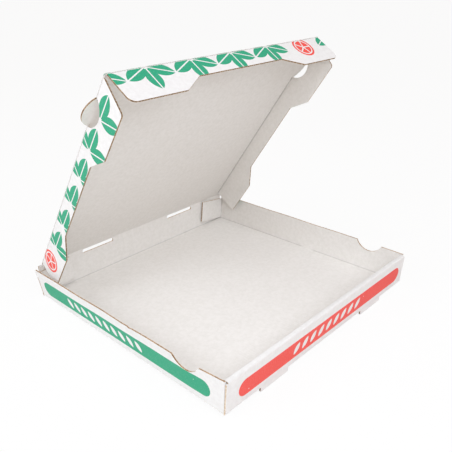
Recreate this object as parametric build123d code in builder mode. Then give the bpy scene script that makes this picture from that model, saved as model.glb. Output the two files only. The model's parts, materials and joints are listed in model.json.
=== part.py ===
from build123d import *
from math import cos, radians, sin, tan
import os

# Takeaway pizza box of white-lined fluted board, standing open, in millimetres and degrees.
# The tray is one folded sheet: base, back wall, side walls with corner tabs, and a roll-over front wall.
# The lid is creased to the back wall, with a front flap and two side flaps creased to it.
# Frame: +Z up, X along the lid's hinge, front wall at -Y, origin at the middle of the base's underside.

# Board
board = 1.8  # thickness of the fluted board
layer_gap = 0.3  # air between two layers that lie against each other
crease_gap = 0.3  # air between a round crease and the flap that turns on it
crease_width = 3.6  # the board is pressed thin on its inside for this far each side of a lid crease
overrun = 4.0  # how far a cutter runs past what it cuts

# Tray
tray_width = 330.0
tray_depth = 330.0
side_wall_height = 41.0
front_wall_height = 40.0
hinge_height = 43.0  # the lid's fold line above the floor
front_lean = 5.5  # the roll-over wall leans out by this angle
side_lean = 8.5  # the side walls lean out by this angle at the back corners
left_lean_shares = (0.1, 0.8, 1.0)  # at the front corner, the finger notch and the back corner
right_lean_shares = (0.05, 0.35, 1.0)
fold_radius = 1.5  # outside of the fold along the foot of a side wall

# Finger notches in the side walls
notch_chord = 37.0
notch_depth = 11.5
notch_from_front = 49.0  # notch centre behind the tray's front face

# Vent slots in the back wall, just below the lid's fold
slot_length = 50.0
slot_height = 5.0
slot_spacing = 150.0
slot_below_hinge = 3.8  # slot centre line below the lid's fold line

# Corner tabs of the side walls
rear_tab_length = 48.0
rear_tab_height = 32.5
rear_tab_corner = 5.0  # cut across the tab's top corner beside its fold
front_tab_length = 48.0
front_tab_height = 34.0
tab_foot_gap = 0.6  # corner tabs end this far above the floor
left_tab_swing = 0.4  # angle of each rear tab off the back wall
right_tab_swing = 2.4

# Lips left hanging below the front fold, and the lock tabs that drop in behind them
lip_width = 44.0
lip_spacing = 184.0
lip_drop = 5.0
lip_corner = 1.2
lock_tab_gap = 1.0  # play at each end of a lock tab in its slot

# Lid
lid_side_inset = 5.5  # the lid's side creases stand this far inside the tray's side folds
lid_front_inset = 10.1  # the closed lid's front crease stands this far behind the tray's front face
lid_open = 53.5  # angle of the lid above closed
front_fold = 87.0  # flaps turned in from the lid's plane
side_fold = 87.0
ear_chord = 37.0
ear_reach = 12.0
ear_from_hinge = 273.0
ear_gap = 0.4  # width of the cut round an ear

# Front flap of the lid
front_flap_depth = 39.0
front_flap_waist = 24.0  # depth in the middle
front_cut_wide = 182.0  # the shallow stretch, along the free edge and along its floor
front_cut_narrow = 128.0
front_flap_end_gap = 1.5  # flap ends stand inside the side creases by this much
front_flap_corner = 8.0

# Side flaps of the lid
side_flap_depth = 38.0
side_flap_waist = 22.5
side_flap_rear_gap = 5.5  # flap starts this far from the hinge, clear of the rear tabs
side_flap_front_gap = 3.0  # and ends this far from the front crease
side_flap_slant = 10.0  # the front end runs back by this much to the free edge
side_waist_shares = (0.21, 0.30, 0.685, 0.765)  # of the lid's depth: rear slope, waist, front slope
side_flap_corner = 4.0
flap_bend_corner = 3.0  # rounding where a free edge changes depth

# Places that several pieces share
half_width = tray_width / 2
half_depth = tray_depth / 2
lid_width = tray_width - 2 * lid_side_inset  # between the creases of the side flaps
lid_depth = tray_depth - board / 2 - lid_front_inset  # from the hinge to the front crease
half_lid = lid_width / 2
flap_start = board / 2 + crease_gap
lean_tan = tan(radians(front_lean))
notch_radius = (notch_chord**2 / 4 + notch_depth**2) / (2 * notch_depth)
ear_radius = (ear_chord**2 / 4 + ear_reach**2) / (2 * ear_reach)
notch_y = notch_from_front - half_depth
inner_panel_width = tray_width - 2 * (board + layer_gap)

# Planes. front_plane is the inside of the leaning front panel, its y axis up the panel from floor level.
front_foot = board * lean_tan - (half_depth - board)
front_out = (0, -cos(radians(front_lean)), -sin(radians(front_lean)))
front_plane = Plane(origin=(0, front_foot, 0), x_dir=(1, 0, 0), z_dir=front_out)
front_tab_plane = front_plane.offset(-layer_gap)
rear_tab_plane = Plane(origin=(0, half_depth - board - layer_gap, 0), x_dir=(1, 0, 0), z_dir=(0, -1, 0))
notch_plane = Plane(origin=(0, notch_y, 0), x_dir=(1, 0, 0), z_dir=(0, -1, 0))

hinge = (0, half_depth - board / 2, hinge_height)
lid_inward = (0, -sin(radians(lid_open)), -cos(radians(lid_open)))
lid_plane = Plane(origin=hinge, x_dir=(1, 0, 0), z_dir=lid_inward)


def creased_plane(place, turn, fold):
    """Plane of a flap creased to the lid: x along the crease, y away from it, folded in by an angle."""
    crease_line = Location(place, (0, 0, turn))
    return Plane(lid_plane.location * crease_line * Location((0, 0, 0), (fold, 0, 0)))


def groove_plane(face, middle, away):
    """Plane across a crease of a board: x from the crease into the board, y to the board's inside."""
    into_board = face.x_dir * away[0] + face.y_dir * away[1]
    return Plane(
        origin=face.from_local_coords((*middle, 0)),
        x_dir=into_board,
        z_dir=into_board.cross(face.z_dir),
    )


def wall_section(side, lean):
    """Corners of a side wall's section: foot and top, outside then inside, leaning out by an angle."""
    foot = side * half_width
    out = side * side_wall_height * sin(radians(lean))
    top = side_wall_height * cos(radians(lean))
    return [(foot, 0), (foot + out, top), (foot + out - side * board, top), (foot - side * board, 0)]


# Section pressed out of the inside of a board along a lid crease, so that a flap can fold right in
groove = [(0, 0), (crease_width, board / 2), (0, board / 2)]

front_flap_plane = creased_plane((0, lid_depth, 0), 0, front_fold)
side_flaps = (
    ("lid_left_flap", 1, creased_plane((-half_lid, 0, 0), 90, side_fold)),
    ("lid_right_flap", -1, creased_plane((half_lid, 0, 0), -90, side_fold)),
)

# Tray, from the middle of the blank outwards
floor_front = (front_foot - board * lean_tan, board)
wall_top_h = front_wall_height - board
wall_top = front_plane.from_local_coords((0, wall_top_h, 0))
wall_middle = front_plane.from_local_coords((0, front_wall_height / 2, 0))
roll_top = front_plane.from_local_coords((0, wall_top_h, -(board + 2 * layer_gap)))
roll_foot = front_plane.from_local_coords((0, board + layer_gap, -(board + 2 * layer_gap)))

with BuildPart() as tray:
    # Back wall, base and outer front panel, one strip of the blank with round folds
    with BuildSketch(Plane.YZ):
        with BuildLine():
            Polyline(
                (half_depth - board, hinge_height),
                (half_depth - board, board),
                floor_front,
                (wall_top.Y, wall_top.Z),
            )
            offset(amount=board, side=Side.LEFT, kind=Kind.ARC)
        make_face()
    extrude(amount=half_width, both=True)

    # Roll-over of the front wall: top strip and inner panel, narrower by the side walls
    with BuildSketch(Plane.YZ):
        with BuildLine():
            Polyline(
                (wall_middle.Y, wall_middle.Z),
                (wall_top.Y, wall_top.Z),
                (roll_top.Y, roll_top.Z),
                (roll_foot.Y, roll_foot.Z),
            )
            offset(amount=board, side=Side.LEFT, kind=Kind.ARC)
        make_face()
    extrude(amount=inner_panel_width / 2, both=True)

    # Slots along the front fold, with the lips that were cut out of them
    with BuildSketch(Plane.XY.offset(board)):
        with Locations((0, -half_depth)):
            with GridLocations(lip_spacing, 0, 2, 1):
                Rectangle(lip_width, 2 * (board + lip_drop))
    extrude(amount=-(board + overrun), mode=Mode.SUBTRACT)
    with BuildSketch(front_plane):
        with Locations((0, (2 * board - lip_drop) / 2)):
            with GridLocations(lip_spacing, 0, 2, 1):
                RectangleRounded(lip_width, 2 * board + lip_drop, lip_corner)
    extrude(amount=board)

    # Lock tabs of the inner panel, dropped into the slots behind the lips
    with BuildSketch(front_plane.offset(-(board + 2 * layer_gap))):
        with Locations((0, board)):
            with GridLocations(lip_spacing, 0, 2, 1):
                Rectangle(lip_width - 2 * lock_tab_gap, 2 * board - 2 * layer_gap)
    extrude(amount=-board)

    for side, lean_shares, swing in (
        (-1, left_lean_shares, left_tab_swing),
        (1, right_lean_shares, right_tab_swing),
    ):
        # Side wall, upright at the front corner and leaning out towards the back
        for plane, share in zip((front_tab_plane, notch_plane, rear_tab_plane), lean_shares):
            with BuildSketch(plane):
                Polygon(*wall_section(side, side_lean * share), align=None)
        loft(ruled=True)

        # Front tab, held inside the roll-over wall
        tab_foot = board + tab_foot_gap
        with BuildSketch(front_tab_plane):
            with Locations((side * (half_width - front_tab_length / 2), tab_foot + front_tab_height / 2)):
                Rectangle(front_tab_length, front_tab_height)
        extrude(amount=-board)

        # Rear tab, square to the leaning edge of its wall, so that it rises towards its free end, and swung
        # off the back wall about its fold
        lean = radians(side_lean * lean_shares[-1])
        up = Vector(side * sin(lean), cos(lean))
        inward = Vector(-side * cos(lean), sin(lean))
        foot = up * tab_foot
        top = foot + up * rear_tab_height
        outline = [
            foot,
            top - up * rear_tab_corner,
            top + inward * rear_tab_corner,
            top + inward * rear_tab_length,
            foot + inward * rear_tab_length,
        ]
        tab_fold = rear_tab_plane.location * Location((side * half_width, 0, 0), (0, side * swing, 0))
        with BuildSketch(Plane(tab_fold)):
            Polygon(*[(point.X, point.Y) for point in outline], align=None)
        extrude(amount=board)

        # Finger notch in the top edge
        with BuildSketch(Plane.YZ.offset(side * (half_width - board - overrun))):
            with Locations((notch_y, side_wall_height - notch_depth + notch_radius)):
                Circle(notch_radius)
        reach_out = side_wall_height * sin(radians(side_lean)) + board + 2 * overrun
        extrude(amount=side * reach_out, mode=Mode.SUBTRACT)

        # Round outside of the fold along the wall's foot
        with BuildSketch(rear_tab_plane):
            with Locations((side * half_width, 0)):
                Rectangle(2 * fold_radius, 2 * fold_radius)
            with Locations((side * (half_width - fold_radius), fold_radius)):
                Circle(fold_radius, mode=Mode.SUBTRACT)
        extrude(amount=tray_depth - 2 * (board + layer_gap), mode=Mode.SUBTRACT)

    # Vent slots in the back wall
    with BuildSketch(Plane(origin=(0, half_depth + overrun, 0), x_dir=(1, 0, 0), z_dir=(0, -1, 0))):
        with Locations((0, hinge_height - slot_below_hinge)):
            with GridLocations(slot_spacing, 0, 2, 1):
                SlotOverall(slot_length, slot_height)
    extrude(amount=board + 2 * overrun, mode=Mode.SUBTRACT)

    # Round crease that the lid turns on
    with Locations(hinge):
        Cylinder(board / 2, lid_width, rotation=(0, 90, 0))

# Lid panel, with ears left standing in its plane and a round crease along three edges
with BuildPart() as lid_panel:
    with BuildSketch(lid_plane):
        with Locations((0, flap_start)):
            Rectangle(lid_width, lid_depth - flap_start, align=(Align.CENTER, Align.MIN))
        with Locations((0, ear_from_hinge)):
            with GridLocations(2 * (half_lid + ear_reach - ear_radius), 0, 2, 1):
                Circle(ear_radius)
    extrude(amount=board / 2, both=True)

    # Pressed grooves inside the creases, ending just past the ends of the ears
    with BuildSketch(groove_plane(lid_plane, (0, lid_depth), (0, -1))):
        Polygon(*groove, align=None)
    extrude(amount=half_lid, both=True, mode=Mode.SUBTRACT)
    ear_start = ear_from_hinge - ear_chord / 2 + crease_width
    ear_end = ear_from_hinge + ear_chord / 2 - crease_width
    for start, end in ((side_flap_rear_gap, ear_start), (ear_end, lid_depth)):
        middle = (start + end) / 2
        left_groove = groove_plane(lid_plane, (-half_lid, middle), (1, 0))
        right_groove = groove_plane(lid_plane, (half_lid, middle), (-1, 0))
        with BuildSketch(left_groove, right_groove):
            Polygon(*groove, align=None)
        extrude(amount=(end - start) / 2, both=True, mode=Mode.SUBTRACT)

    with Locations(lid_plane.location * Location((0, lid_depth, 0))):
        Cylinder(board / 2, lid_width, rotation=(0, 90, 0))
    crease_length = lid_depth - side_flap_rear_gap
    crease_middle = side_flap_rear_gap + crease_length / 2
    for side in (-1, 1):
        with Locations(lid_plane.location * Location((side * half_lid, crease_middle, 0))):
            Cylinder(board / 2, crease_length, rotation=(90, 0, 0))

# Front flap, with a long shallow stretch between two deep ends
with BuildPart() as lid_front_flap:
    end = half_lid - front_flap_end_gap
    with BuildSketch(front_flap_plane) as flap_face:
        with BuildLine():
            Polyline(
                (-end, flap_start),
                (end, flap_start),
                (end, front_flap_depth),
                (front_cut_wide / 2, front_flap_depth),
                (front_cut_narrow / 2, front_flap_waist),
                (-front_cut_narrow / 2, front_flap_waist),
                (-front_cut_wide / 2, front_flap_depth),
                (-end, front_flap_depth),
                close=True,
            )
        make_face()
        free_corners = flap_face.vertices().filter_by(lambda v: v.Y > flap_start + board)
        fillet(free_corners.filter_by(lambda v: abs(v.X) > front_cut_wide / 2 + board), front_flap_corner)
        free_bends = flap_face.vertices().filter_by(lambda v: abs(v.X) < front_cut_wide / 2 + board)
        fillet(free_bends, flap_bend_corner)
    extrude(amount=board / 2, both=True)
    with BuildSketch(groove_plane(front_flap_plane, (0, 0), (0, 1))):
        Polygon(*groove, align=None)
    extrude(amount=half_lid, both=True, mode=Mode.SUBTRACT)

# Side flaps, one outline for both, run along the crease from the hinge and mirrored by the sign of x
side_flap_parts = []
for name, along, plane in side_flaps:
    with BuildPart() as side_flap:
        rear_slope, waist_start, waist_end, front_slope = [share * lid_depth for share in side_waist_shares]
        front_end = lid_depth - side_flap_front_gap
        with BuildSketch(plane) as flap_face:
            with BuildLine():
                Polyline(
                    (along * side_flap_rear_gap, flap_start),
                    (along * front_end, flap_start),
                    (along * (front_end - side_flap_slant), side_flap_depth),
                    (along * front_slope, side_flap_depth),
                    (along * waist_end, side_flap_waist),
                    (along * waist_start, side_flap_waist),
                    (along * rear_slope, side_flap_depth),
                    (along * side_flap_rear_gap, side_flap_depth),
                    close=True,
                )
            make_face()
            free_corners = flap_face.vertices().filter_by(
                lambda v: abs(v.X) > front_slope + board and v.Y > flap_start + board)
            fillet(free_corners, side_flap_corner)
            free_bends = flap_face.vertices().filter_by(
                lambda v: rear_slope - board < abs(v.X) < front_slope + board)
            fillet(free_bends, flap_bend_corner)
            with Locations((along * ear_from_hinge, ear_reach - ear_radius)):
                Circle(ear_radius + ear_gap, mode=Mode.SUBTRACT)
        extrude(amount=board / 2, both=True)
        with BuildSketch(groove_plane(plane, (along * lid_depth / 2, 0), (0, 1))):
            Polygon(*groove, align=None)
        extrude(amount=lid_depth / 2, both=True, mode=Mode.SUBTRACT)
    side_flap.part.label = name
    side_flap_parts.append(side_flap.part)

tray.part.label = "tray"
lid_panel.part.label = "lid_panel"
lid_front_flap.part.label = "lid_front_flap"

os.makedirs("parts", exist_ok=True)
for piece in (tray.part, lid_panel.part, lid_front_flap.part, *side_flap_parts):
    export_step(piece, f"parts/{piece.label}.step")
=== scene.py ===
"""Pizza box of white-lined fluted board, standing open: board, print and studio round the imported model."""

from __future__ import annotations

import json
import logging
import math
from dataclasses import dataclass, field, replace
from enum import Enum

import bmesh
import bpy
import numpy as np
from mathutils import Matrix, Vector

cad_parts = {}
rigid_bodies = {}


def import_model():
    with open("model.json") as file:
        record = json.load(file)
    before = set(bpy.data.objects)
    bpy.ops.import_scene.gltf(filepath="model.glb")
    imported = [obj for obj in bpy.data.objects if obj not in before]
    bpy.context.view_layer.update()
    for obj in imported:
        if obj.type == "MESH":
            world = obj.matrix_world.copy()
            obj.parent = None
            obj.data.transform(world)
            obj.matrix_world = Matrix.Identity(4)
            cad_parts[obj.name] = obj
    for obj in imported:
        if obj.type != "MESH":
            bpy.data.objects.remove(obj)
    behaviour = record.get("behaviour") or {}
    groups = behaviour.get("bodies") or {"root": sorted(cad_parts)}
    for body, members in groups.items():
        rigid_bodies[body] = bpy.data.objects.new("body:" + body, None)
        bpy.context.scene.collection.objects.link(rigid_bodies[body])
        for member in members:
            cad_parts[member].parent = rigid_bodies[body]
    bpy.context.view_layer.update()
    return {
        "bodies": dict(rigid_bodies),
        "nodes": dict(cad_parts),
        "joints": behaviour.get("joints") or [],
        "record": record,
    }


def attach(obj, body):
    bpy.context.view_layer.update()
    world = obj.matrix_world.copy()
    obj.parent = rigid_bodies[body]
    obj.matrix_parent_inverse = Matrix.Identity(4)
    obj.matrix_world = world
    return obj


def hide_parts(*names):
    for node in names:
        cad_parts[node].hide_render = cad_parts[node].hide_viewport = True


Tree = bpy.types.NodeTree
Socket = bpy.types.NodeSocket
Piece = bpy.types.Object
Face = bmesh.types.BMFace

LOG = logging.getLogger("pizza_box")
MM = 0.001
WHITE = (1.0, 1.0, 1.0, 1.0)

# Board, in millimetres
BOARD = 1.8  # thickness over both liners
LINER = 0.26  # each paper face of the board
MEDIUM = 0.2  # the wavy paper between the liners
FLUTE_PITCH = 3.4
FLUTE_STEPS = 12  # straight steps in one wave of the fluting
MERGE = 0.01  # points of a solid closer than this are one


class Facing(Enum):
    """Which way a panel of the tray looks."""

    FRONT = "front"
    LEFT = "left"
    RIGHT = "right"
    PLAIN = "plain"
    INSIDE = "inside"


def linear(hex_code: str) -> tuple[float, float, float, float]:
    """Turns an sRGB hex colour into linear light.

    Args:
        hex_code: a hash sign and six hex digits.

    Returns:
        Red, green, blue and an alpha of one.
    """
    channels = [int(hex_code[i:i + 2], 16) / 255 for i in (1, 3, 5)]
    light = [c / 12.92 if c <= 0.04045 else ((c + 0.055) / 1.055) ** 2.4 for c in channels]
    return (*light, 1.0)


def add_node(tree: Tree, kind: str, inputs: dict | None = None, **settings: object) -> bpy.types.Node:
    """Adds a node, sets its properties, and sets or links its inputs.

    Args:
        tree: the node tree that takes the node.
        kind: the node's type, without its ShaderNode prefix.
        inputs: socket name or number to a value, an output that feeds it, or a node for its first output.
        settings: the node's own properties.

    Returns:
        The new node.
    """
    node = tree.nodes.new(f"ShaderNode{kind}")
    for name, value in settings.items():
        setattr(node, name, value)
    for key, value in (inputs or {}).items():
        if isinstance(value, bpy.types.Node):
            value = value.outputs[0]
        if isinstance(value, Socket):
            tree.links.new(value, node.inputs[key])
        else:
            node.inputs[key].default_value = value
    return node


def leaf_mask(tree: Tree, point: Socket, length: float, width: float, vein: float) -> Socket:
    """Mask of a pointed leaf, centred on zero and lying along Y, with a bare vein down its middle.

    Args:
        tree: the node tree.
        point: the surface point, in millimetres.
        length: tip to tip, in millimetres.
        width: across the middle, in millimetres.
        vein: width of the bare vein, in millimetres.

    Returns:
        One inside the leaf and zero outside it.
    """
    half_length, half_width = length / 2, width / 2
    # Two arcs meet at the tips. Their centres lie this far to either side of the leaf.
    centre = (half_length**2 / half_width - half_width) / 2
    parts = add_node(tree, "SeparateXYZ", {0: point})
    aside = add_node(tree, "Math", {0: parts.outputs["X"]}, operation="ABSOLUTE")
    shifted = add_node(tree, "Math", {0: aside, 1: centre}, operation="ADD")
    spot = add_node(tree, "CombineXYZ", {"X": shifted, "Y": parts.outputs["Y"]})
    reach = add_node(tree, "VectorMath", {0: spot}, operation="LENGTH")
    inside = add_node(
        tree, "Math", {0: reach.outputs["Value"], 1: centre + half_width}, operation="LESS_THAN"
    )
    off_vein = add_node(tree, "Math", {0: aside, 1: vein / 2}, operation="GREATER_THAN")
    both = add_node(tree, "Math", {0: inside, 1: off_vein}, operation="MULTIPLY")
    return both.outputs[0]


@dataclass(frozen=True)
class Crease:
    """A line that the board is folded on, in metres. Round an ear the board stays flat, so no shade is
    painted along the line there.
    """

    point: Vector
    line: Vector
    ear: Vector | None = None
    ear_half: float = 18.2 * MM

    @classmethod
    def of(cls, joint: dict) -> Crease:
        """The crease of one of the frame's joints."""
        return cls(Vector(joint["pos_m"]), Vector(joint["axis"]).normalized())

    def away(self, place: Vector) -> Vector:
        """The shortest way from the crease to a place."""
        reach = place - self.point
        return reach - self.line * reach.dot(self.line)


@dataclass(frozen=True)
class Knock:
    """A small knock in the board, which pushes the points round a place. Lengths in metres."""

    place: Vector
    push: Vector
    reach: Vector

    def share(self, point: Vector) -> float:
        """How much of the push a point takes, from one at the place to none at the reach."""
        off = Vector(a / b for a, b in zip(point - self.place, self.reach)).length
        return max(0.0, 1.0 - off * off) ** 2


@dataclass(frozen=True)
class StripePrint:
    """A wide printed bar with round ends, and a row of small bare leaves along it. Sizes in millimetres."""

    ink: str
    along: Vector
    middle: float
    length: float
    low: float
    height: float
    leaves_middle: float
    leaves_count: int = 9
    leaf_spacing: float = 14.5
    leaf_length: float = 15.0
    leaf_width: float = 6.8
    leaf_lean: float = 38.0  # degrees

    def inks(self, tree: Tree, place: Socket) -> list[tuple[Socket, str]]:
        """Masks of the bar.

        Args:
            tree: the node tree.
            place: the surface point, in millimetres.

        Returns:
            Pairs of a mask and its ink.
        """
        radius = self.height / 2
        parts = add_node(tree, "SeparateXYZ", {0: place})
        along = add_node(tree, "VectorMath", {0: place, 1: self.along}, operation="DOT_PRODUCT")
        run = add_node(tree, "Math", {0: along.outputs["Value"], 1: self.middle}, operation="SUBTRACT")
        rise = add_node(tree, "Math", {0: parts.outputs["Z"], 1: self.low + radius}, operation="SUBTRACT")
        far = add_node(tree, "Math", {0: run}, operation="ABSOLUTE")
        past = add_node(tree, "Math", {0: far, 1: self.length / 2 - radius}, operation="SUBTRACT")
        past_end = add_node(tree, "Math", {0: past, 1: 0.0}, operation="MAXIMUM")
        spot = add_node(tree, "CombineXYZ", {"X": past_end, "Y": rise})
        reach = add_node(tree, "VectorMath", {0: spot}, operation="LENGTH")
        bar = add_node(tree, "Math", {0: reach.outputs["Value"], 1: radius}, operation="LESS_THAN")
        bare = self.bare_leaves(tree, along.outputs["Value"], rise.outputs[0])
        inked = add_node(tree, "Math", {0: bar, 1: bare}, operation="SUBTRACT", use_clamp=True)
        return [(inked.outputs[0], self.ink)]

    def bare_leaves(self, tree: Tree, along: Socket, rise: Socket) -> Socket:
        """Mask of the row of leaves that the ink leaves out.

        Args:
            tree: the node tree.
            along: distance along the bar.
            rise: height above the bar's middle line.

        Returns:
            One inside a leaf.
        """
        span = self.leaves_count * self.leaf_spacing
        start = self.leaves_middle - span / 2
        run = add_node(tree, "Math", {0: along, 1: start}, operation="SUBTRACT")
        step = add_node(tree, "Math", {0: run, 1: self.leaf_spacing, 2: 0.0}, operation="WRAP")
        side = add_node(tree, "Math", {0: step, 1: self.leaf_spacing / 2}, operation="SUBTRACT")
        spot = add_node(tree, "CombineXYZ", {"X": side, "Y": rise})
        turned = add_node(
            tree, "VectorRotate", {"Vector": spot, "Angle": math.radians(self.leaf_lean)},
            rotation_type="Z_AXIS",
        )
        leaf = leaf_mask(tree, turned.outputs[0], self.leaf_length, self.leaf_width, 0.0)
        offset = add_node(tree, "Math", {0: run, 1: span / 2}, operation="SUBTRACT")
        far = add_node(tree, "Math", {0: offset}, operation="ABSOLUTE")
        near = add_node(tree, "Math", {0: far, 1: span / 2}, operation="LESS_THAN")
        both = add_node(tree, "Math", {0: leaf, 1: near}, operation="MULTIPLY")
        return both.outputs[0]


@dataclass(frozen=True)
class SprigPrint:
    """All-over print in a plain grid: leaf sprigs in one ink, now and then a round slice in another.

    Sizes in millimetres.
    """

    common_ink: str
    odd_ink: str
    across: Vector
    along: Vector
    across_start: float = 0.0
    along_start: float = 0.0
    pitch: float = 57.83
    row: float = 43.0
    first_column: float = -173.5
    first_row: float = 30.5
    odd_every: float = 8.0
    odd_step: float = 5.0
    leaf_length: float = 29.5
    leaf_width: float = 16.0
    vein: float = 1.4
    spread: float = 64.0  # degrees from the middle leaf to the outer ones
    leaf_rise: float = 0.56  # from the fork to a leaf's middle, as a share of its length
    fork: float = -12.5
    slice_width: float = 30.0
    slice_rind: float = 2.6
    slice_gap: float = 1.6
    slice_seeds: int = 5

    def inks(self, tree: Tree, place: Socket) -> list[tuple[Socket, str]]:
        """Masks of the sprigs.

        Args:
            tree: the node tree.
            place: the surface point, in millimetres.

        Returns:
            Pairs of a mask and its ink.
        """
        grid = (
            (self.across, self.across_start - self.first_column, self.pitch),
            (self.along, self.along_start - self.first_row, self.row),
        )
        numbers, shares = [], []
        for way, start, spacing in grid:
            run = add_node(tree, "VectorMath", {0: place, 1: way}, operation="DOT_PRODUCT").outputs["Value"]
            moved = add_node(tree, "Math", {0: run, 1: start + spacing / 2}, operation="ADD")
            steps = add_node(tree, "Math", {0: moved, 1: spacing}, operation="DIVIDE")
            numbers.append(add_node(tree, "Math", {0: steps}, operation="FLOOR"))
            shares.append(add_node(tree, "Math", {0: steps}, operation="FRACT"))
        column, row = numbers
        cell = add_node(tree, "CombineXYZ", {"X": shares[0], "Y": shares[1]})
        spot = add_node(
            tree, "Mapping",
            {
                "Vector": cell,
                "Location": (-self.pitch / 2, -self.row / 2 - self.fork, 0.0),
                "Scale": (self.pitch, self.row, 1.0),
            },
        )
        sprig = None
        for lean in (-self.spread, 0.0, self.spread):
            turned = add_node(
                tree, "VectorRotate", {"Vector": spot, "Angle": math.radians(lean)}, rotation_type="Z_AXIS"
            )
            middle = (0.0, self.leaf_length * self.leaf_rise, 0.0)
            raised = add_node(tree, "VectorMath", {0: turned, 1: middle}, operation="SUBTRACT")
            leaf = leaf_mask(tree, raised.outputs[0], self.leaf_length, self.leaf_width, self.vein)
            sprig = leaf if sprig is None else add_node(
                tree, "Math", {0: sprig, 1: leaf}, operation="MAXIMUM"
            ).outputs[0]
        count = add_node(tree, "Math", {0: row, 1: self.odd_step, 2: column}, operation="MULTIPLY_ADD")
        turn = add_node(tree, "Math", {0: count, 1: self.odd_every}, operation="FLOORED_MODULO")
        # The turn is a whole number, so this finds its zero
        odd = add_node(tree, "Math", {0: turn, 1: 0.5}, operation="LESS_THAN")
        even = add_node(tree, "Math", {0: 1.0, 1: odd}, operation="SUBTRACT")
        common = add_node(tree, "Math", {0: sprig, 1: even}, operation="MULTIPLY")
        disc = self.slice_mask(tree, spot.outputs[0])
        odd_disc = add_node(tree, "Math", {0: disc, 1: odd}, operation="MULTIPLY")
        return [(common.outputs[0], self.common_ink), (odd_disc.outputs[0], self.odd_ink)]

    def slice_mask(self, tree: Tree, spot: Socket) -> Socket:
        """Mask of a round slice with a rind and wedges, centred on its cell.

        Args:
            tree: the node tree.
            spot: place from the sprig's fork, in millimetres.

        Returns:
            One inside the slice's ink.
        """
        radius = self.slice_width / 2
        centred = add_node(tree, "VectorMath", {0: spot, 1: (0.0, -self.fork, 0.0)}, operation="SUBTRACT")
        reach = add_node(tree, "VectorMath", {0: centred}, operation="LENGTH").outputs["Value"]
        whole = add_node(tree, "Math", {0: reach, 1: radius}, operation="LESS_THAN")
        gap = add_node(
            tree, "Math",
            {0: reach, 1: radius - self.slice_rind - self.slice_gap / 2, 2: self.slice_gap / 2},
            operation="COMPARE",
        )
        ring = add_node(tree, "Math", {0: whole, 1: gap}, operation="SUBTRACT", use_clamp=True)
        parts = add_node(tree, "SeparateXYZ", {0: centred})
        turn = add_node(tree, "Math", {0: parts.outputs["Y"], 1: parts.outputs["X"]}, operation="ARCTAN2")
        wedge = add_node(tree, "Math", {0: turn, 1: math.pi / self.slice_seeds}, operation="PINGPONG")
        aside = add_node(tree, "Math", {0: wedge}, operation="SINE")
        off = add_node(tree, "Math", {0: aside, 1: reach}, operation="MULTIPLY")
        seam = add_node(tree, "Math", {0: off, 1: self.slice_gap / 2}, operation="LESS_THAN")
        inner = add_node(tree, "Math", {0: reach, 1: radius - self.slice_rind}, operation="LESS_THAN")
        bare = add_node(tree, "Math", {0: seam, 1: inner}, operation="MULTIPLY")
        inked = add_node(tree, "Math", {0: ring, 1: bare}, operation="SUBTRACT", use_clamp=True)
        return inked.outputs[0]


Print = StripePrint | SprigPrint


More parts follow.
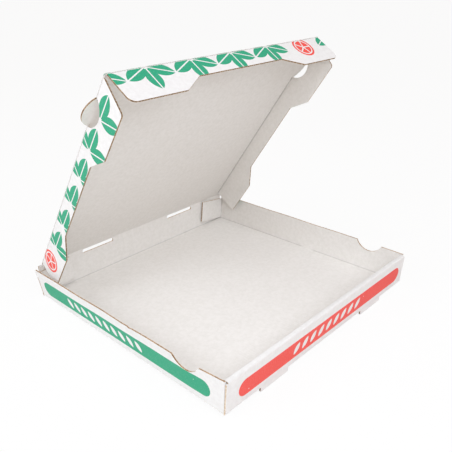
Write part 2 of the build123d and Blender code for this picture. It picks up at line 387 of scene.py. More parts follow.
@dataclass(frozen=True)
class PaperLiner:
    """Smooth paper face of the board: matt, faintly ribbed by the flutes under it, faintly mottled.

    The eye gets a soft even white with no gloss, a fine tooth and shallow ribs along the flutes. Along the
    folds it is given, shade is painted into its colour.
    """

    name: str
    paper: str
    cloud: str
    rib_across: Vector
    print: Print | None = None
    # Folds along which shade is painted into the colour
    creases: tuple[Crease, ...] = ()
    roughness: float = 0.62
    ink_roughness: float = 0.5
    rib_depth: float = 0.012
    tooth_depth: float = 0.012
    tooth_grain: float = 0.7  # real paper tooth is about 0.1 mm, drawn coarser so that it shows
    tooth_detail: float = 3.0
    cloud_grain: float = 4.5
    cloud_detail: float = 3.0
    cloud_rough: float = 0.6
    cloud_range: tuple[float, float] = (0.33, 0.67)
    ink_grain: float = 1.6
    ink_detail: float = 2.0
    ink_range: tuple[float, float] = (0.25, 0.5)
    ink_thin: float = 0.93  # share of ink where it is thinnest
    # Painted shade along the folds: the share of the paper's colour that is left on a fold line
    crease_shade: float = 0.74
    crease_line: float = 0.3  # half the width of the darkest painted shade along a fold, which then fades out by the next distance
    crease_fade: float = 1.5
    specular: float = 0.25
    speck_spacing: float = 19.0
    speck_share: float = 0.035  # bare pinholes in the ink, as a share of their spacing

    def material(self) -> bpy.types.Material:
        """Makes the liner's material.

        Returns:
            A new material.
        """
        made = bpy.data.materials.new(self.name)
        made.use_nodes = True
        tree = made.node_tree
        shader = tree.nodes["Principled BSDF"]
        coordinates = add_node(tree, "TexCoord")
        place = add_node(
            tree, "VectorMath", {0: coordinates.outputs["Object"], "Scale": 1 / MM}, operation="SCALE"
        ).outputs[0]
        shader.inputs["Specular IOR Level"].default_value = self.specular
        cloud = add_node(
            tree, "TexNoise",
            {
                "Vector": place, "Scale": 1 / self.cloud_grain, "Detail": self.cloud_detail,
                "Roughness": self.cloud_rough,
            },
        )
        low, high = self.cloud_range
        mottle = add_node(tree, "MapRange", {"Value": cloud, "From Min": low, "From Max": high})
        colours = {"Factor": mottle, "A": linear(self.paper), "B": linear(self.cloud)}
        colour = add_node(tree, "Mix", colours, data_type="RGBA").outputs["Result"]
        if self.print:
            colour = self.inked(tree, place, colour, shader)
        else:
            shader.inputs["Roughness"].default_value = self.roughness
        # Shade painted along the folds
        if self.creases:
            colour = self.paint_fold_shade(tree, place, colour)
        tree.links.new(colour, shader.inputs["Base Color"])
        tree.links.new(self.relief(tree, place), shader.inputs["Normal"])
        return made

    def inked(self, tree: Tree, place: Socket, colour: Socket, shader: bpy.types.Node) -> Socket:
        """Lays the print over the paper, a little thinner in places.

        Args:
            tree: the node tree.
            place: the surface point, in millimetres.
            colour: the bare paper's colour.
            shader: the surface shader, whose roughness follows the ink.

        Returns:
            The printed colour.
        """
        thin = add_node(
            tree, "TexNoise", {"Vector": place, "Scale": 1 / self.ink_grain, "Detail": self.ink_detail}
        )
        low, high = self.ink_range
        even = add_node(
            tree, "MapRange",
            {
                "Value": thin, "From Min": low, "From Max": high,
                "To Min": self.ink_thin, "To Max": 1.0,
            },
        )
        speck = add_node(tree, "TexVoronoi", {"Vector": place, "Scale": 1 / self.speck_spacing})
        missed = add_node(tree, "Math", {0: speck, 1: self.speck_share}, operation="GREATER_THAN")
        cover = add_node(tree, "Math", {0: even, 1: missed}, operation="MULTIPLY")
        shine = self.roughness
        for mask, ink in self.print.inks(tree, place):
            laid = add_node(tree, "Math", {0: mask, 1: cover}, operation="MULTIPLY")
            colour = add_node(
                tree, "Mix", {"Factor": laid, "A": colour, "B": linear(ink)}, data_type="RGBA"
            ).outputs["Result"]
            shine = add_node(
                tree, "Mix", {"Factor": mask, "A": shine, "B": self.ink_roughness}, data_type="FLOAT"
            ).outputs["Result"]
        tree.links.new(shine, shader.inputs["Roughness"])
        return colour

    def paint_fold_shade(self, tree: Tree, place: Socket, colour: Socket) -> Socket:
        """Paints shade into the colour along the folds, darkest on the fold line and fading away from it.

        Args:
            tree: the node tree.
            place: the surface point, in millimetres.
            colour: the paper's colour.

        Returns:
            The colour with painted shade along its folds.
        """
        nearest = None
        for crease in self.creases:
            reach = add_node(tree, "VectorMath", {0: place, 1: crease.point / MM}, operation="SUBTRACT")
            aside = add_node(tree, "VectorMath", {0: reach, 1: crease.line}, operation="CROSS_PRODUCT")
            off = add_node(tree, "VectorMath", {0: aside}, operation="LENGTH").outputs["Value"]
            # Round an ear no shade is painted: its distance is pushed past the fade
            if crease.ear is not None:
                from_ear = add_node(
                    tree, "VectorMath", {0: place, 1: crease.ear / MM}, operation="DISTANCE"
                ).outputs["Value"]
                flat = add_node(tree, "Math", {0: from_ear, 1: crease.ear_half / MM}, operation="LESS_THAN")
                off = add_node(
                    tree, "Math", {0: flat, 1: self.crease_fade, 2: off}, operation="MULTIPLY_ADD"
                ).outputs[0]
            nearest = off if nearest is None else add_node(
                tree, "Math", {0: nearest, 1: off}, operation="MINIMUM"
            ).outputs[0]
        shade = add_node(
            tree, "MapRange",
            {
                "Value": nearest, "From Min": self.crease_line, "From Max": self.crease_fade,
                "To Min": self.crease_shade, "To Max": 1.0,
            },
        )
        return add_node(
            tree, "Mix", {"Factor": 1.0, "A": colour, "B": shade}, data_type="RGBA", blend_type="MULTIPLY"
        ).outputs["Result"]

    def relief(self, tree: Tree, place: Socket) -> Socket:
        """Ribs of the flutes and the paper's tooth.

        Args:
            tree: the node tree.
            place: the surface point, in millimetres.

        Returns:
            The bumped normal.
        """
        across = add_node(tree, "VectorMath", {0: place, 1: self.rib_across}, operation="DOT_PRODUCT")
        turn = add_node(
            tree, "Math", {0: across.outputs["Value"], 1: 2 * math.pi / FLUTE_PITCH}, operation="MULTIPLY"
        )
        rib = add_node(tree, "Math", {0: turn}, operation="SINE")
        tooth = add_node(
            tree, "TexNoise", {"Vector": place, "Scale": 1 / self.tooth_grain, "Detail": self.tooth_detail}
        )
        rise = add_node(tree, "Math", {0: tooth, 1: self.tooth_depth}, operation="MULTIPLY")
        height = add_node(tree, "Math", {0: rib, 1: self.rib_depth, 2: rise}, operation="MULTIPLY_ADD")
        bump = add_node(tree, "Bump", {"Height": height, "Distance": MM, "Strength": 1.0})
        return bump.outputs[0]


@dataclass(frozen=True)
class KraftCut:
    """Torn fibre of unbleached kraft paper: tan, uneven and quite dull."""

    name: str
    light: str
    dark: str
    roughness: float = 0.85
    grain: float = 2.2
    detail: float = 4.0
    thin: float = 0.4
    dense: float = 0.6

    def material(self) -> bpy.types.Material:
        """Makes the kraft material.

        Returns:
            A new material.
        """
        made = bpy.data.materials.new(self.name)
        made.use_nodes = True
        tree = made.node_tree
        shader = tree.nodes["Principled BSDF"]
        shader.inputs["Roughness"].default_value = self.roughness
        coordinates = add_node(tree, "TexCoord")
        place, scale = coordinates.outputs["Object"], 1 / (self.grain * MM)
        fibre = add_node(tree, "TexNoise", {"Vector": place, "Scale": scale, "Detail": self.detail})
        share = add_node(tree, "MapRange", {"Value": fibre, "From Min": self.thin, "From Max": self.dense})
        colours = {"Factor": share, "A": linear(self.light), "B": linear(self.dark)}
        colour = add_node(tree, "Mix", colours, data_type="RGBA")
        tree.links.new(colour.outputs["Result"], shader.inputs["Base Color"])
        return made


# Cut through the liners, and the fluting between them
LINER_CUT = KraftCut("kraft_liner_cut", "#E2D3C0", "#C9AE8D")
FLUTING = KraftCut("kraft_fluting", "#B9956D", "#7E5D3F")


def deselect_all() -> None:
    """Leaves edit mode and deselects every object."""
    if bpy.context.mode != "OBJECT":
        bpy.ops.object.mode_set(mode="OBJECT")
    bpy.ops.object.select_all(action="DESELECT")


def make_active(piece: Piece) -> None:
    """Selects one object alone and makes it active.

    Args:
        piece: the object.
    """
    deselect_all()
    piece.select_set(True)
    bpy.context.view_layer.objects.active = piece


def copy_of(node: Piece, name: str) -> Piece:
    """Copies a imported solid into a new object, as one closed mesh.

    Args:
        node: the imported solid.
        name: the copy's name.

    Returns:
        The copy, merged, with no materials and plain normals.
    """
    mesh = node.data.copy()
    mesh.materials.clear()
    piece = bpy.data.objects.new(name, mesh)
    bpy.context.scene.collection.objects.link(piece)
    make_active(piece)
    bpy.ops.mesh.customdata_custom_splitnormals_clear()
    bpy.ops.object.mode_set(mode="EDIT")
    bpy.ops.mesh.select_all(action="SELECT")
    bpy.ops.mesh.remove_doubles(threshold=MERGE * MM)
    bpy.ops.object.mode_set(mode="OBJECT")
    bpy.ops.object.shade_flat()
    return piece


def apply_modifier(piece: Piece, kind: str, **settings: object) -> None:
    """Adds a modifier, sets it and applies it.

    Args:
        piece: the object it works on.
        kind: the modifier's type name.
        settings: the modifier's properties.
    """
    make_active(piece)
    modifier = piece.modifiers.new(kind.title(), kind)
    for name, value in settings.items():
        setattr(modifier, name, value)
    bpy.ops.object.modifier_apply(modifier=modifier.name)


def widest_face_normal(node: Piece) -> Vector:
    """Normal of a solid's largest face."""
    return max(node.data.polygons, key=lambda face: face.area).normal.copy()


def smooth_sheets(mesh: bmesh.types.BMesh, sharp: float) -> list[list[Face]]:
    """Groups faces that run into each other with no sharp edge between them.

    Args:
        mesh: the mesh that is grouped.
        sharp: the least angle of a sharp edge, in radians.

    Returns:
        Groups of faces.
    """
    waiting = set(mesh.faces)
    groups = []
    while waiting:
        group, front = [], [waiting.pop()]
        while front:
            face = front.pop()
            group.append(face)
            for edge in face.edges:
                if len(edge.link_faces) != 2 or edge.calc_face_angle(math.pi) > sharp:
                    continue
                for other in edge.link_faces:
                    if other in waiting:
                        waiting.remove(other)
                        front.append(other)
        groups.append(group)
    return groups


def strip_width(group: list[Face]) -> float:
    """Mean width of a group of faces taken as a long strip.

    Args:
        group: faces that run into each other.

    Returns:
        Twice the area over the length of the border, in metres.
    """
    members = set(group)
    area = sum(face.calc_area() for face in group)
    border = sum(
        edge.calc_length() for face in group for edge in face.edges
        if any(other not in members for other in edge.link_faces)
    )
    return 2 * area / max(border, 1e-9)


@dataclass
class FoldedBoard:
    """One piece of fluted board: two paper liners with open cut edges, and the fluting between them."""

    node: Piece
    body: str
    slot: str
    creases: list[Crease]
    finishes: list[PaperLiner]
    sharp: float = math.radians(35)
    widest_cut: float = 1.95 * MM
    narrowest_cut: float = 1.0 * MM
    crease_reach: float = 1.75 * MM
    pieces: list[Piece] = field(default_factory=list)

    def finish_of(self, face: Face) -> int:
        """Number of the finish that a face of the liners takes."""
        raise NotImplementedError

    def warp(self, piece: Piece) -> None:
        """Gives the flat board its small bends. A plain board has none."""

    def prepare(self, piece: Piece) -> None:
        """Cuts the copy where the warp needs points. A plain board needs none."""

    def near_crease(self, place: Vector) -> bool:
        """Whether a place lies in the pressed board beside a crease."""
        return any(crease.away(place).length < self.crease_reach for crease in self.creases)

    def cut_faces(self, mesh: bmesh.types.BMesh) -> list[Face]:
        """Finds the faces where the die cut through the board.

        Args:
            mesh: the closed solid.

        Returns:
            Faces in strips as narrow as the board, but not those pressed into a crease.
        """
        cuts = []
        for group in smooth_sheets(mesh, self.sharp):
            if self.narrowest_cut < strip_width(group) < self.widest_cut:
                cuts += [face for face in group if not self.near_crease(face.calc_center_median())]
        return cuts

    def liners(self) -> Piece:
        """Opens the solid at its cut edges and gives what is left the liners' thickness.

        Returns:
            The liners, both faces of the board as one object.
        """
        piece = copy_of(self.node, f"{self.node.name}_liners")
        self.prepare(piece)
        for finish in self.finishes:
            piece.data.materials.append(finish.material())
        piece.data.materials.append(LINER_CUT.material())
        mesh = bmesh.new()
        mesh.from_mesh(piece.data)
        cuts = self.cut_faces(mesh)
        for face in mesh.faces:
            face.material_index = self.finish_of(face)
        bmesh.ops.delete(mesh, geom=cuts, context="FACES")
        mesh.to_mesh(piece.data)
        mesh.free()
        self.warp(piece)
        last = len(piece.data.materials)
        apply_modifier(
            piece, "SOLIDIFY", thickness=LINER * MM, offset=-1.0,
            material_offset=last, material_offset_rim=last,
        )
        bpy.ops.object.shade_smooth_by_angle(angle=self.sharp)
        return piece

    def build(self) -> None:
        """Makes the board's pieces and sets them on the body."""
        self.pieces = [self.liners(), *self.fluting()]
        for piece in self.pieces:
            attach(piece, self.body)
            LOG.info("%s: %d faces", piece.name, len(piece.data.polygons))
        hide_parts(self.node.name)

    def fluting(self) -> list[Piece]:
        """The fluting between the liners."""
        return []


@dataclass(kw_only=True)
class FlatBoard(FoldedBoard):
    """A flat panel of the lid, with waves of fluting cut to its outline."""

    across: Vector
    along: Vector
    middle: Vector
    root: Crease | None = None
    root_shift: float = 0.25 * MM

    @property
    def inward(self) -> Vector:
        """Direction of the panel's inside."""
        return self.across.cross(self.along)

    def finish_of(self, face: Face) -> int:
        """Printed finish outside, bare paper inside."""
        return 0 if face.normal.dot(self.inward) < 0 else 1

    def warp(self, piece: Piece) -> None:
        """Brings the flap's root up to the round crease that it turns on.

        Args:
            piece: the liners.
        """
        if self.root is None:
            return
        centre = sum((v.co for v in piece.data.vertices), Vector()) / len(piece.data.vertices)
        out = self.root.away(centre).normalized()
        for vertex in piece.data.vertices:
            if self.root.away(vertex.co).length < self.crease_reach:
                vertex.co -= out * self.root_shift

    def fluting(self) -> list[Piece]:
        """Cuts a sheet of waves to the panel's outline.

        Returns:
            The fluting, as a list of one object.
        """
        outline = copy_of(self.node, "flute_outline")
        places = [(v.co - self.middle) for v in outline.data.vertices]
        half_across = max(abs(p.dot(self.across)) for p in places) + FLUTE_PITCH * MM
        half_along = max(abs(p.dot(self.along)) for p in places) + FLUTE_PITCH * MM
        waves = math.ceil(2 * half_across / (FLUTE_PITCH * MM))
        deselect_all()
        bpy.ops.mesh.primitive_grid_add(x_subdivisions=waves * FLUTE_STEPS, y_subdivisions=1, size=2)
        piece = bpy.context.active_object
        piece.name = piece.data.name = f"{self.node.name}_fluting"
        height = (BOARD / 2 - LINER - MEDIUM / 2) * MM
        for vertex in piece.data.vertices:
            x, y = vertex.co.x * half_across, vertex.co.y * half_along
            wave = height * math.sin(2 * math.pi * x / (FLUTE_PITCH * MM))
            vertex.co = self.middle + self.across * x + self.along * y + self.inward * wave
        apply_modifier(piece, "SOLIDIFY", thickness=MEDIUM * MM, offset=0.0)
        apply_modifier(piece, "BOOLEAN", object=outline, operation="INTERSECT", solver="EXACT")
        bpy.data.objects.remove(outline)
        piece.data.materials.clear()
        piece.data.materials.append(FLUTING.material())
        return [piece]


@dataclass
class Tray(FoldedBoard):
    """The folded tray, whose side walls show their core along the cut edges."""

    knocks: list[Knock] = field(default_factory=list)
    knock_cuts: int = 8  # strips that the board is cut into across a knock, each way
    wave_cuts: int = 16  # strips that a side wall is cut into along its length
    wave_depth: float = 0.9 * MM
    wave_lengths: tuple[float, float] = (94.0 * MM, 37.0 * MM)
    wave_shares: tuple[float, float] = (0.6, 0.4)
    wave_wall: float = 158.0 * MM  # the side walls lie beyond this
    wave_half: float = 150.0 * MM
    wave_top: float = 41.0 * MM
    wall_place: float = 170.0 * MM  # a box round each side wall, from its middle
    wall_level: float = 25.0 * MM
    wall_depth: float = 12.0 * MM
    wall_rise: float = 20.0 * MM
    end_line: float = 165.0 * MM  # the raw ends of the front and back panels lie on this plane
    end_depth: float = 162.8 * MM
    end_slack: float = 0.05 * MM
    wall_line: float = 164.0 * MM  # the outer faces of the walls lie beyond this
    floor_line: float = 6.0 * MM  # the bare floor and its folds lie below this
    square_on: float = 0.8  # least part of a normal on an outer wall or the floor
    leaning: float = 0.5  # the same for the inside, whose faces lean more
    core_recess: float = 0.5 * MM
    core_reach: float = 0.8 * MM
    core_flat: float = 0.05  # directions that weigh less than this in a corner are left out
    # Box of the left rear tab, the fold it swings on, that fold's lean, and the swing
    tab_low: Vector = (Vector((-172.0, 160.5, 2.2)) * MM).freeze()
    tab_high: Vector = (Vector((-116.0, 163.05, 45.0)) * MM).freeze()
    tab_fold: float = -165.0 * MM
    tab_lean: float = math.radians(8.5)
    tab_swing: float = math.radians(2.4)

    def raw_end(self, face: Face) -> bool:
        """Whether a face is the raw end of the front or back panel, flush with a side wall."""
        places = [v.co for v in face.verts]
        flush = all(abs(abs(p.x) - self.end_line) < self.end_slack for p in places)
        return flush and all(abs(p.y) > self.end_depth for p in places)

    def finish_of(self, face: Face) -> int:
        """Prints on the outer walls, bare paper inside, and cut paper on the raw ends.

        Args:
            face: a face of the liners.

        Returns:
            Number of the finish.
        """
        if self.raw_end(face):
            return len(self.finishes)
        normal, place = face.normal, face.calc_center_median()
        facing = Facing.PLAIN
        if normal.y < -self.square_on and place.y < -self.wall_line:
            facing = Facing.FRONT
        elif normal.x < -self.square_on and place.x < -self.wall_line:
            facing = Facing.LEFT
        elif normal.x > self.square_on and place.x > self.wall_line:
            facing = Facing.RIGHT
        elif normal.z > self.square_on and place.z < self.floor_line:
            facing = Facing.INSIDE
        elif normal.x * place.x < -self.leaning * abs(place.x):
            facing = Facing.INSIDE
        elif normal.y < -self.leaning and place.y > 0:
            facing = Facing.INSIDE
        return list(Facing).index(facing)

    @staticmethod
    def slice_faces(piece: Piece, centre: Vector, reach: Vector, normal: Vector, count: int) -> None:
        """Cuts the board into strips inside a box.

        Args:
            piece: the copy that is cut.
            centre: middle of the box, in metres.
            reach: half the box's sides.
            normal: direction across the strips, along one axis.
            count: number of strips.
        """
        for step in range(count + 1):
            place = centre + normal * normal.dot(reach) * (2 * step / count - 1)
            make_active(piece)
            bpy.ops.object.mode_set(mode="EDIT")
            bpy.ops.mesh.select_all(action="DESELECT")
            bpy.ops.object.mode_set(mode="OBJECT")
            for face in piece.data.polygons:
                corners = [piece.data.vertices[i].co for i in face.vertices]
                low = Vector(min(c[k] for c in corners) for k in range(3))
                high = Vector(max(c[k] for c in corners) for k in range(3))
                face.select = all(
                    low[k] <= centre[k] + reach[k] and high[k] >= centre[k] - reach[k] for k in range(3)
                )
            bpy.ops.object.mode_set(mode="EDIT")
            bpy.ops.mesh.bisect(plane_co=place, plane_no=normal)
            bpy.ops.object.mode_set(mode="OBJECT")

    def prepare(self, piece: Piece) -> None:
        """Cuts the side walls and the knocked places finely enough to bend.

        Args:
            piece: a copy of the solid.
        """
        along = Vector((0, 1, 0))
        for side in (-1, 1):
            middle = Vector((side * self.wall_place, 0.0, self.wall_level))
            reach = Vector((self.wall_depth, self.wave_half, self.wall_rise))
            self.slice_faces(piece, middle, reach, along, self.wave_cuts)
        for knock in self.knocks:
            for axis in (Vector((1, 0, 0)), along, Vector((0, 0, 1))):
                self.slice_faces(piece, knock.place, knock.reach, axis, self.knock_cuts)

    def warp(self, piece: Piece) -> None:
        """Waves the side walls, swings the left rear tab off its wall, and adds the knocks.

        Args:
            piece: the liners or the core.
        """
        for vertex in piece.data.vertices:
            point = vertex.co.copy()
            if abs(point.x) > self.wave_wall and abs(point.y) < self.wave_half:
                waves = zip(self.wave_shares, self.wave_lengths)
                bend = sum(share * math.sin(2 * math.pi * point.y / length) for share, length in waves)
                fade = 1.0 - abs(point.y) / self.wave_half
                rise = max(0.0, point.z / self.wave_top) ** 2
                vertex.co.x += self.wave_depth * bend * fade * rise
            if all(self.tab_low[k] < point[k] < self.tab_high[k] for k in range(3)):
                reach = point.x - self.tab_fold + point.z * math.tan(self.tab_lean)
                vertex.co.y -= max(0.0, reach) * math.tan(self.tab_swing)
            for knock in self.knocks:
                vertex.co += knock.push * knock.share(point)

    def fluting(self) -> list[Piece]:
        """The core that shows between the liners along the cut edges.

        Returns:
            The core, as a list of one object.
        """
        piece = copy_of(self.node, f"{self.node.name}_fluting")
        self.prepare(piece)
        mesh = bmesh.new()
        mesh.from_mesh(piece.data)
        cuts = set(self.cut_faces(mesh))
        moves = []
        for vertex in mesh.verts:
            faces = vertex.link_faces
            normals = np.array([face.normal for face in faces])
            depths = np.array([self.core_recess if face in cuts else LINER * MM / 2 for face in faces])
            move = Vector(np.linalg.lstsq(normals, -depths, rcond=self.core_flat)[0])
            moves.append(move if move.length < self.core_reach else move.normalized() * self.core_reach)
        for vertex, move in zip(mesh.verts, moves):
            vertex.co += move
        mesh.to_mesh(piece.data)
        mesh.free()
        self.warp(piece)
        piece.data.materials.append(FLUTING.material())
        return [piece]


@dataclass(frozen=True)
class Lamp:
    """A soft square lamp. Lengths in metres."""

    name: str
    place: Vector
    size: float
    watts: float
    tint: str = "#EFF6FF"

    def hang(self, aim: Vector) -> None:
        """Hangs the lamp.

        Args:
            aim: where it points, in metres.
        """
        data = bpy.data.lights.new(self.name, "AREA")
        data.size = self.size
        data.energy = self.watts
        data.color = linear(self.tint)[:3]
        lamp = bpy.data.objects.new(self.name, data)
        bpy.context.scene.collection.objects.link(lamp)
        turn = (aim - self.place).to_track_quat("-Z", "Y").to_matrix().to_4x4()
        lamp.matrix_world = Matrix.Translation(self.place) @ turn


@dataclass
class Studio:
    """Plain pale floor, soft light and the camera. Lengths in millimetres, but in metres for the lamps."""

    camera_place: Vector = Vector((-451.6, -456.9, 380.3)).freeze()
    camera_aim: Vector = Vector((11.9, 0.0, 85.5)).freeze()
    camera_roll: float = 1.95  # degrees
    camera_clip: float = 10.0
    camera_lens: float = 45.1
    lip_line: Vector = Vector((0.0, -165.4, -5.1)).freeze()
    back_line: Vector = Vector((0.0, 165.0, 0.0)).freeze()
    floor_side: float = 80000.0  # so large that its edge isn't seen
    floor_colour: str = "#F2F1EF"
    floor_roughness: float = 0.9
    floor_glow: float = 0.93  # share of plain white that the camera sees in the floor
    surround: str = "#FFEEE2"
    surround_strength: float = 0.4
    lamp_aim: Vector = Vector((0.0, 0.0, 0.06)).freeze()
    lamps: tuple[Lamp, ...] = (
        Lamp("left_lamp", Vector((-1.3, 0.2, 0.75)), size=0.8, watts=9.5),
        Lamp("near_lamp", Vector((-0.3, -0.8, 0.8)), size=0.6, watts=5.6),
        Lamp("front_lamp", Vector((0.3, -0.8, 1.0)), size=0.8, watts=3.7),
        Lamp("back_lamp", Vector((-0.9, 0.9, 1.1)), size=0.8, watts=4.2),
    )

    def camera(self) -> None:
        """Sets the camera at the photograph's viewing angle."""
        data = bpy.data.cameras.new("camera")
        data.lens = self.camera_lens
        data.clip_start = self.camera_clip * MM
        camera = bpy.data.objects.new("camera", data)
        bpy.context.scene.collection.objects.link(camera)
        turn = (self.camera_aim - self.camera_place).to_track_quat("-Z", "Y").to_matrix()
        roll = Matrix.Rotation(math.radians(-self.camera_roll), 3, "Z")
        camera.matrix_world = Matrix.Translation(self.camera_place * MM) @ (turn @ roll).to_4x4()
        bpy.context.scene.camera = camera

    def floor(self) -> None:
        """Lays the floor under the lips and the back edge that the box stands on."""
        deselect_all()
        slope = math.atan2(self.back_line.z - self.lip_line.z, self.back_line.y - self.lip_line.y)
        bpy.ops.mesh.primitive_plane_add(
            size=self.floor_side * MM, location=self.lip_line * MM, rotation=(slope, 0.0, 0.0)
        )
        floor = bpy.context.active_object
        floor.name = "floor"
        made = bpy.data.materials.new("studio_floor")
        made.use_nodes = True
        tree = made.node_tree
        shader = tree.nodes["Principled BSDF"]
        shader.inputs["Base Color"].default_value = linear(self.floor_colour)
        shader.inputs["Roughness"].default_value = self.floor_roughness
        glow = add_node(tree, "Emission", {"Color": WHITE, "Strength": 1.0})
        seen = add_node(tree, "LightPath")
        share = add_node(
            tree, "Math", {0: seen.outputs["Is Camera Ray"], 1: self.floor_glow}, operation="MULTIPLY"
        )
        mixed = add_node(tree, "MixShader", {0: share, 1: shader, 2: glow})
        tree.links.new(mixed.outputs[0], tree.nodes["Material Output"].inputs["Surface"])
        floor.data.materials.append(made)

    def light(self) -> None:
        """Hangs four soft lamps in an even pale surround."""
        world = bpy.data.worlds.new("studio")
        bpy.context.scene.world = world
        world.use_nodes = True
        tree = world.node_tree
        around = tree.nodes["Background"]
        around.inputs["Color"].default_value = linear(self.surround)
        around.inputs["Strength"].default_value = self.surround_strength
        shown = add_node(tree, "Background", {"Color": WHITE, "Strength": 1.0})
        seen = add_node(tree, "LightPath")
        mixed = add_node(tree, "MixShader", {0: seen.outputs["Is Camera Ray"], 1: around, 2: shown})
        tree.links.new(mixed.outputs[0], tree.nodes["World Output"].inputs["Surface"])
        for lamp in self.lamps:
            lamp.hang(self.lamp_aim)
        bpy.context.scene.view_settings.view_transform = "Standard"

    def build(self) -> None:
        """Sets camera, floor and light."""
        self.camera()
        self.floor()
        self.light()


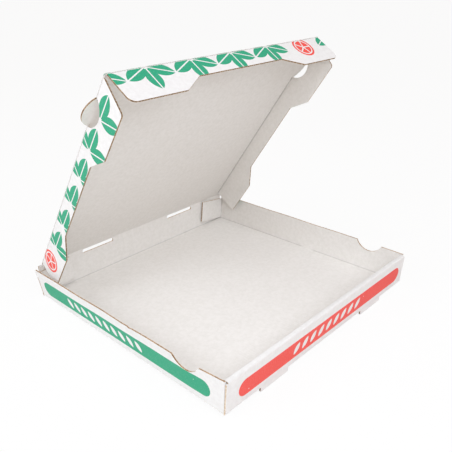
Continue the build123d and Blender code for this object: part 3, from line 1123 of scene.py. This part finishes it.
@dataclass
class PizzaBox:
    """The whole box: tray, lid panel and the lid's three flaps."""

    frame: dict
    inner_half: float = 163.2  # floor folds of the side walls, in millimetres from the middle
    inner_back: float = 163.2
    tab_face: float = 161.1
    corner_lean: float = 8.5  # degrees
    ear_from_hinge: float = 273.0  # middle of the ears, along the lid
    # Painted shade along the inside folds, as the share of the paper's colour left on a fold line
    tray_fold_shade: float = 0.85
    lid_fold_shade: float = 0.62
    lid_sharp: float = math.radians(25)  # parts the ears' cut rims from the round creases beside them
    red: str = "#F0564D"
    green: str = "#2EA37C"
    outside: str = "#ECEBE9"
    outside_cloud: str = "#E6E4E2"
    inside: str = "#EFECE8"
    inside_cloud: str = "#E8E5E0"

    def crease(self, name: str) -> Crease:
        """The crease of a named joint."""
        return Crease.of(next(joint for joint in self.frame["joints"] if joint["name"] == name))

    def liner(self, name: str, rib_across: Vector, printed: Print | None = None) -> PaperLiner:
        """White outer liner, with a print or bare."""
        return PaperLiner(name, self.outside, self.outside_cloud, rib_across, printed)

    def bare(self, name: str, rib_across: Vector, creases: tuple[Crease, ...], shade: float) -> PaperLiner:
        """Bare inner liner, with the folds along which shade is painted, and how dark that painted shade is.
        """
        return PaperLiner(
            name, self.inside, self.inside_cloud, rib_across, creases=creases, crease_shade=shade
        )

    def tray_folds(self) -> tuple[Crease, ...]:
        """Fold lines on the inside of the tray, along which shade is painted: round the floor, and up the
        two back corners.

        Returns:
            The folds as lines.
        """
        x, y, z = self.inner_half * MM, self.inner_back * MM, BOARD * MM
        lean = math.radians(self.corner_lean)
        across, along = Vector((1, 0, 0)), Vector((0, 1, 0))
        folds = [Crease(Vector((0, y, z)), across)]
        for side in (-1, 1):
            folds.append(Crease(Vector((side * x, 0, z)), along))
            up = Vector((side * math.sin(lean), 0, math.cos(lean)))
            folds.append(Crease(Vector((side * x, self.tab_face * MM, z)), up))
        return tuple(folds)

    def tray(self) -> Tray:
        """The tray, with a bar printed on its front and side walls.

        Returns:
            The tray, not yet built.
        """
        across, along, up = Vector((1, 0, 0)), Vector((0, 1, 0)), Vector((0, 0, 1))
        front = StripePrint(
            ink=self.red, along=across, middle=4.0, length=303.0, low=8.0, height=20.5, leaves_middle=0.0
        )
        side = StripePrint(
            ink=self.green, along=along, middle=1.5, length=297.0, low=9.0, height=20.5,
            leaves_middle=25.0, leaves_count=10,
        )
        finishes = [
            self.liner("white_liner_red_bar", across, front),
            self.liner("white_liner_green_bar_left", up, side),
            self.liner("white_liner_green_bar_right", up, side),
            self.liner("white_liner_plain", across),
            self.bare("bare_liner_tray", across, self.tray_folds(), self.tray_fold_shade),
        ]
        node, hinge = self.frame["nodes"]["tray"], self.crease("lid_fold")
        return Tray(node, "tray", "tray_board", [hinge], finishes, knocks=self.knocks())

    def knocks(self) -> list[Knock]:
        """Marks of handling: a nick in the left wall's top edge and a buckle in the right wall's foot.

        Returns:
            The knocks.
        """
        nick = Knock(
            place=Vector((-169.3, -31.0, 41.0)) * MM,
            push=Vector((-0.2, 0.0, -0.9)) * MM,
            reach=Vector((6.0, 4.5, 10.0)) * MM,
        )
        buckle = Knock(
            place=Vector((163.4, -17.0, 2.0)) * MM,
            push=Vector((-0.5, 0.0, 1.8)) * MM,
            reach=Vector((6.0, 14.0, 6.0)) * MM,
        )
        return [nick, buckle]

    def lid(self) -> list[FlatBoard]:
        """The lid panel and its flaps, with one print that runs on over the creases.

        Returns:
            The four boards, not yet built.
        """
        across = Vector((1, 0, 0))
        hinge, front = self.crease("lid_fold"), self.crease("front_flap_fold")
        left, right = self.crease("left_flap_fold"), self.crease("right_flap_fold")
        along = (front.point - hinge.point).normalized()
        nodes = self.frame["nodes"]
        middle = (hinge.point + front.point) / 2
        depth = (front.point - hinge.point).length
        lid_print = self.sprigs(across, 0.0, along, -hinge.point.dot(along))
        # Round the ears, which stay flat, no shade is painted along the side folds
        ear_rise = along * (self.ear_from_hinge * MM - depth / 2)
        eared = tuple(replace(fold, ear=fold.point + ear_rise) for fold in (left, right))
        boards = [
            FlatBoard(
                nodes["lid_panel"], "lid", "lid_board", [hinge],
                [
                    self.liner("white_liner_lid_print", across, lid_print),
                    self.bare("bare_liner_lid", across, (hinge, front, *eared), self.lid_fold_shade),
                ],
                across=across, along=along, middle=middle, sharp=self.lid_sharp,
            )
        ]
        flaps = (
            ("lid_front_flap", "front_flap", front, across),
            ("lid_left_flap", "left_flap", left, along),
            ("lid_right_flap", "right_flap", right, -along),
        )
        for name, body, crease, run in flaps:
            inside = widest_face_normal(nodes[name])
            inside = inside if inside.dot(middle - crease.point) > 0 else -inside
            out = inside.cross(run)
            if name == "lid_front_flap":
                flute_across = across
                flap_print = self.sprigs(across, 0.0, out, depth - crease.point.dot(out))
            else:
                flute_across = out
                side = math.copysign(1.0, crease.point.x)
                start = crease.point.x - side * crease.point.dot(out)
                flap_print = self.sprigs(out * side, start, along, -hinge.point.dot(along))
            boards.append(
                FlatBoard(
                    nodes[name], body, "flap_board", [crease],
                    [
                        self.liner(f"white_liner_{name}_print", flute_across, flap_print),
                        self.bare(f"bare_liner_{name}", flute_across, (crease,), self.lid_fold_shade),
                    ],
                    across=flute_across, along=inside.cross(flute_across), middle=crease.point, root=crease,
                )
            )
        return boards

    def sprigs(self, across: Vector, across_start: float, along: Vector, along_start: float) -> SprigPrint:
        """The lid's print on one panel, placed as on the flat blank.

        Args:
            across: direction on the panel that runs across the blank.
            across_start: the blank's place where that direction starts, in metres.
            along: direction on the panel that runs along the blank from the hinge.
            along_start: the blank's place where that direction starts, in metres.

        Returns:
            The print.
        """
        return SprigPrint(self.green, self.red, across, along, across_start / MM, along_start / MM)

    def build(self) -> None:
        """Builds every board."""
        self.tray().build()
        for board in self.lid():
            board.build()


def main() -> None:
    """Loads the frame, builds the box and the studio."""
    logging.basicConfig(level=logging.INFO, format="%(name)s %(message)s")
    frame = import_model()
    deselect_all()
    PizzaBox(frame).build()
    Studio().build()
    deselect_all()


if __name__ == "__main__":
    main()
